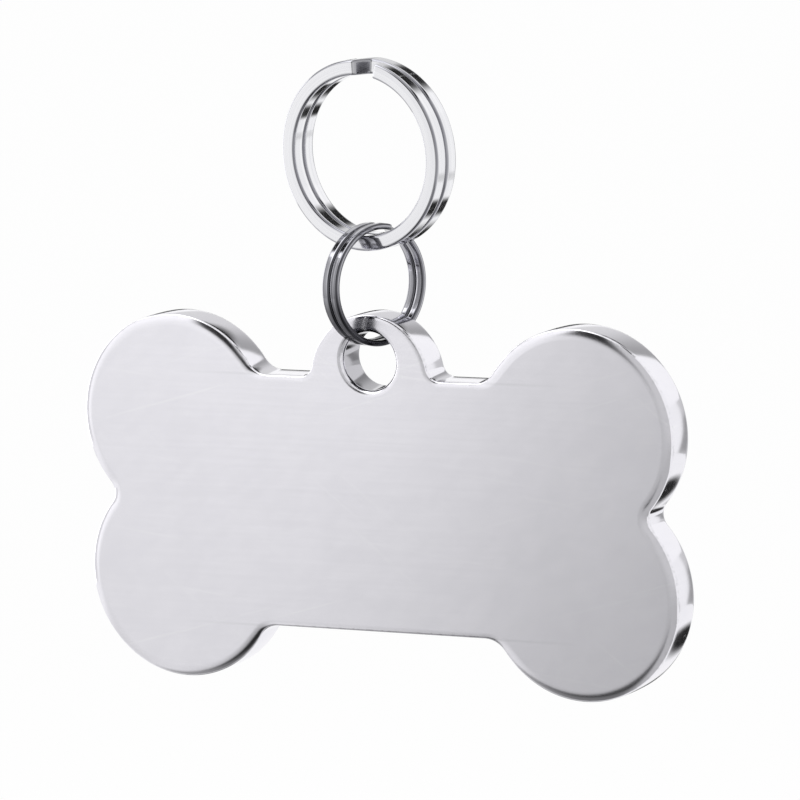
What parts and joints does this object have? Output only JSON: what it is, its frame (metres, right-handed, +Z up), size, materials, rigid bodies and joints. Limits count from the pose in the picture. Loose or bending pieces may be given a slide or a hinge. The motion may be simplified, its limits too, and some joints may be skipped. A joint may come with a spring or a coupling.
{
  "type": "pet id tag",
  "caption": "Bone-shaped polished steel pet identity tag with a round lug, hanging from a small split ring on a larger split ring that goes on the collar.",
  "frame": {"origin": "centre of the large split ring's bore, where the collar's ring passes through", "axes": "+X along the bone, -Y out of the front face, +Z up, with the tag hanging straight down"},
  "size_m": [0.05, 0.0092, 0.0475],
  "materials": {
    "plate_steel": "polished stainless steel with fine handling marks",
    "ring_steel": "bright nickel-plated spring steel"
  },
  "bodies": {
    "large_ring": {"large_split_ring": "ring_steel"},
    "small_ring": {"small_split_ring": "ring_steel"},
    "plate": {"tag_plate": "plate_steel"}
  },
  "joints": [
    {"name": "small_ring_round_large_ring", "type": "hinge", "parent": "large_ring", "child": "small_ring", "pos_m": [0, 0, 0], "axis": [0.1284, 0.9917, 0], "continuous": true},
    {"name": "plate_round_small_ring", "type": "hinge", "parent": "small_ring", "child": "plate", "pos_m": [0, 0, -0.0098], "axis": [0.947, -0.3213, 0], "range_deg": [-110, 110]}
  ]
}
